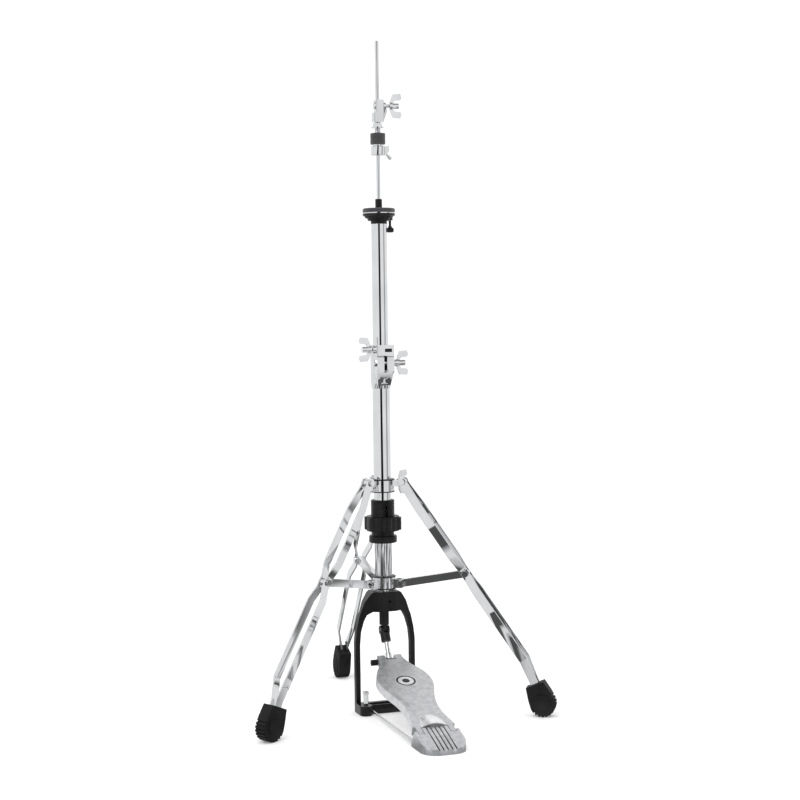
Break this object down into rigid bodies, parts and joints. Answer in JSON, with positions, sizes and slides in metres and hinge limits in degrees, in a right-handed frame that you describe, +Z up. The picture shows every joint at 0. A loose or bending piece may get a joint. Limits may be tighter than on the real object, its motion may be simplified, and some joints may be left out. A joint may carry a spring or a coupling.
{
  "type": "hi-hat stand",
  "caption": "Free-standing hi-hat cymbal stand: double-strap tripod, black yoke base with cast footboard, telescoping chrome tube, pull rod, tilting seat and clutch.",
  "frame": {"origin": "on the floor at the axis of the tube and pull rod", "axes": "+Z up along the tube; the footboard points along -Y, its hinge pin lies along X"},
  "size_m": [0.5049, 0.5893, 1.1],
  "materials": {
    "badge": "plain dark inlay",
    "black_paint": "satin black enamel on a casting",
    "black_plastic": "moulded black nylon",
    "bright_steel": "bright steel wire",
    "cast_aluminium": "tumbled cast aluminium",
    "cast_chrome": "chrome plate on a casting",
    "chrome": "bright chrome plate on steel",
    "felt": "dense dark felt",
    "rubber": "black rubber",
    "spring_steel": "spring wire"
  },
  "bodies": {
    "base": {"base_yoke": "black_paint", "base_bar": "black_paint", "radius_rods": "bright_steel", "heel_plate": "cast_aluminium", "heel_hinge_pin": "bright_steel", "lower_tube": "chrome", "spring_housing": "black_plastic", "pull_spring": "spring_steel", "height_clamp": "cast_chrome", "clamp_bushing": "black_plastic", "clamp_bolt": "chrome"},
    "spur_left": {"spur_bolt_left": "chrome"},
    "spur_right": {"spur_bolt_right": "chrome"},
    "follower": {"spring_follower": "spring_steel"},
    "knob": {"tension_knob": "black_plastic"},
    "tripod_lower": {"lower_collar": "cast_chrome", "lower_collar_bushes": "black_plastic", "brace_pivot_bolts": "chrome"},
    "tripod_upper": {"upper_collar": "cast_chrome", "upper_collar_bushes": "black_plastic", "leg_pivot_bolts": "chrome"},
    "collar_wing": {"collar_wing_bolt": "cast_chrome"},
    "height_wing": {"height_wing_nut": "cast_chrome"},
    "lock": {"memory_lock": "cast_chrome"},
    "lock_wing": {"memory_wing_bolt": "cast_chrome"},
    "upper_tube": {"upper_tube": "chrome", "seat_base": "black_plastic", "seat_sleeve": "black_plastic"},
    "seat": {"seat_plate": "chrome", "seat_felt": "felt"},
    "tilt_screw": {"tilt_screw": "black_paint"},
    "footboard": {"footboard": "cast_aluminium", "badge_disc": "badge", "toe_pin": "bright_steel"},
    "toe_knob": {"toe_knob": "black_paint"},
    "pull_rod": {"upper_rod": "chrome", "lower_rod": "bright_steel", "rod_sleeve": "black_plastic", "link_pin": "bright_steel"},
    "link": {"link_swivel": "black_plastic", "link_rod": "chrome"},
    "clutch": {"clutch_body": "cast_chrome", "clutch_sleeve": "chrome", "clutch_lock_nut": "chrome", "clutch_felts": "felt", "clutch_bottom_nut": "chrome"},
    "clutch_wing": {"clutch_wing_bolt": "cast_chrome"},
    "clutch_key": {"clutch_key_screw": "chrome"},
    "leg_right": {"leg_straps_right": "chrome", "leg_rivets_right": "chrome", "foot_right": "rubber"},
    "brace_right": {"brace_right": "chrome"},
    "leg_left": {"leg_straps_left": "chrome", "leg_rivets_left": "chrome", "foot_left": "rubber"},
    "brace_left": {"brace_left": "chrome"},
    "leg_rear": {"leg_straps_rear": "chrome", "leg_rivets_rear": "chrome", "foot_rear": "rubber"},
    "brace_rear": {"brace_rear": "chrome"}
  },
  "joints": [
    {"name": "spur_left_drive", "type": "slide", "parent": "base", "child": "spur_left", "axis": [0, 0, -1], "range_m": [0, 0.006]},
    {"name": "spur_right_drive", "type": "slide", "parent": "base", "child": "spur_right", "axis": [0, 0, -1], "range_m": [0, 0.006]},
    {"name": "follower_lift", "type": "slide", "parent": "base", "child": "follower", "axis": [0, 0, 1], "range_m": [0, 0.016]},
    {"name": "tension_knob_turn", "type": "hinge", "parent": "follower", "child": "knob", "pos_m": [0, 0, 0.312], "axis": [0, 0, 1], "range_deg": [0, 2881.44]},
    {"name": "tripod_swivel", "type": "hinge", "parent": "base", "child": "tripod_lower", "pos_m": [0, 0, 0.213], "axis": [0, 0, 1], "range_deg": [-15, 15]},
    {"name": "tripod_fold", "type": "slide", "parent": "tripod_lower", "child": "tripod_upper", "axis": [0, 0, 1], "range_m": [0, 0.11647]},
    {"name": "leg_right_pivot", "type": "hinge", "parent": "tripod_upper", "child": "leg_right", "pos_m": [0.02965, -0.01764, 0.381], "axis": [0.5113, 0.8594, 0], "range_deg": [0, 25.74]},
    {"name": "leg_left_pivot", "type": "hinge", "parent": "tripod_upper", "child": "leg_left", "pos_m": [-0.0301, -0.01686, 0.381], "axis": [0.4886, -0.8725, 0], "range_deg": [0, 25.74]},
    {"name": "leg_rear_pivot", "type": "hinge", "parent": "tripod_upper", "child": "leg_rear", "pos_m": [0.00045, 0.0345, 0.381], "axis": [-0.9999, 0.0131, 0], "range_deg": [0, 25.74]},
    {"name": "brace_right_pivot", "type": "hinge", "parent": "tripod_lower", "child": "brace_right", "pos_m": [0.02578, -0.01534, 0.213], "axis": [-0.5113, -0.8594, 0], "range_deg": [0, 62.9]},
    {"name": "brace_left_pivot", "type": "hinge", "parent": "tripod_lower", "child": "brace_left", "pos_m": [-0.02618, -0.01466, 0.213], "axis": [-0.4886, 0.8725, 0], "range_deg": [0, 62.9]},
    {"name": "brace_rear_pivot", "type": "hinge", "parent": "tripod_lower", "child": "brace_rear", "pos_m": [0.00039, 0.03, 0.213], "axis": [0.9999, -0.0131, 0], "range_deg": [0, 62.9]},
    {"name": "collar_wing_turn", "type": "hinge", "parent": "tripod_upper", "child": "collar_wing", "pos_m": [0.0354, 0.01862, 0.3767], "axis": [0.885, 0.4656, 0], "range_deg": [0, 360]},
    {"name": "height_wing_turn", "type": "hinge", "parent": "base", "child": "height_wing", "pos_m": [0.02, -0.019, 0.577], "axis": [1, 0, 0], "range_deg": [0, 360]},
    {"name": "memory_lock_slide", "type": "slide", "parent": "base", "child": "lock", "axis": [0, 0, 1], "range_m": [0, 0.05]},
    {"name": "memory_wing_turn", "type": "hinge", "parent": "lock", "child": "lock_wing", "pos_m": [-0.03, -0.019, 0.5995], "axis": [1, 0, 0], "range_deg": [0, 360]},
    {"name": "height_slide", "type": "slide", "parent": "base", "child": "upper_tube", "axis": [0, 0, 1], "range_m": [-0.14, 0.03]},
    {"name": "tilt_screw_turn", "type": "hinge", "parent": "upper_tube", "child": "tilt_screw", "pos_m": [0.019, 0, 0.8], "axis": [0, 0, 1], "range_deg": [0, 1920]},
    {"name": "seat_tilt", "type": "hinge", "parent": "upper_tube", "child": "seat", "pos_m": [-0.024, 0, 0.8206], "axis": [0, -1, 0], "range_deg": [0, 5]},
    {"name": "pedal_press", "type": "hinge", "parent": "base", "child": "footboard", "pos_m": [0, -0.2518, 0.0137], "axis": [-1, 0, 0], "range_deg": [0, 8], "stiffness_Nm_per_rad": 100, "springref_deg": -4.3},
    {"name": "pull_rod_slide", "type": "slide", "parent": "base", "child": "pull_rod", "axis": [0, 0, -1], "range_m": [0, 0.02865], "deforming": ["pull_spring"]},
    {"name": "link_swing", "type": "hinge", "parent": "pull_rod", "child": "link", "pos_m": [0, 0, 0.134], "axis": [1, 0, 0], "range_deg": [0, 9.04]},
    {"name": "toe_knob_turn", "type": "hinge", "parent": "footboard", "child": "toe_knob", "pos_m": [-0.026, -0.026, 0.086], "axis": [1, 0, 0], "range_deg": [0, 360]},
    {"name": "clutch_slide", "type": "slide", "parent": "pull_rod", "child": "clutch", "axis": [0, 0, 1], "range_m": [-0.05, 0.07]},
    {"name": "clutch_wing_turn", "type": "hinge", "parent": "clutch", "child": "clutch_wing", "pos_m": [0.02, 0, 0.9956], "axis": [1, 0, 0], "range_deg": [0, 360]},
    {"name": "clutch_key_turn", "type": "hinge", "parent": "clutch", "child": "clutch_key", "pos_m": [0.014, 0, 0.9175], "axis": [0.7071, 0, -0.7071], "range_deg": [0, 360]}
  ],
  "couplings": [
    {"joint": "tension_knob_turn", "follows": "follower_lift", "rad_per_m": 3141.6},
    {"joint": "leg_right_pivot", "follows": "tripod_fold", "rad_per_m": 3.8556},
    {"joint": "leg_left_pivot", "follows": "tripod_fold", "rad_per_m": 3.8556},
    {"joint": "leg_rear_pivot", "follows": "tripod_fold", "rad_per_m": 3.8556},
    {"joint": "brace_right_pivot", "follows": "tripod_fold", "rad_per_m": 9.4205},
    {"joint": "brace_left_pivot", "follows": "tripod_fold", "rad_per_m": 9.4205},
    {"joint": "brace_rear_pivot", "follows": "tripod_fold", "rad_per_m": 9.4205},
    {"joint": "seat_tilt", "follows": "tilt_screw_turn", "ratio": 0.0026042},
    {"joint": "pull_rod_slide", "follows": "pedal_press", "m_per_rad": 0.20512},
    {"joint": "link_swing", "follows": "pedal_press", "ratio": 1.13}
  ]
}
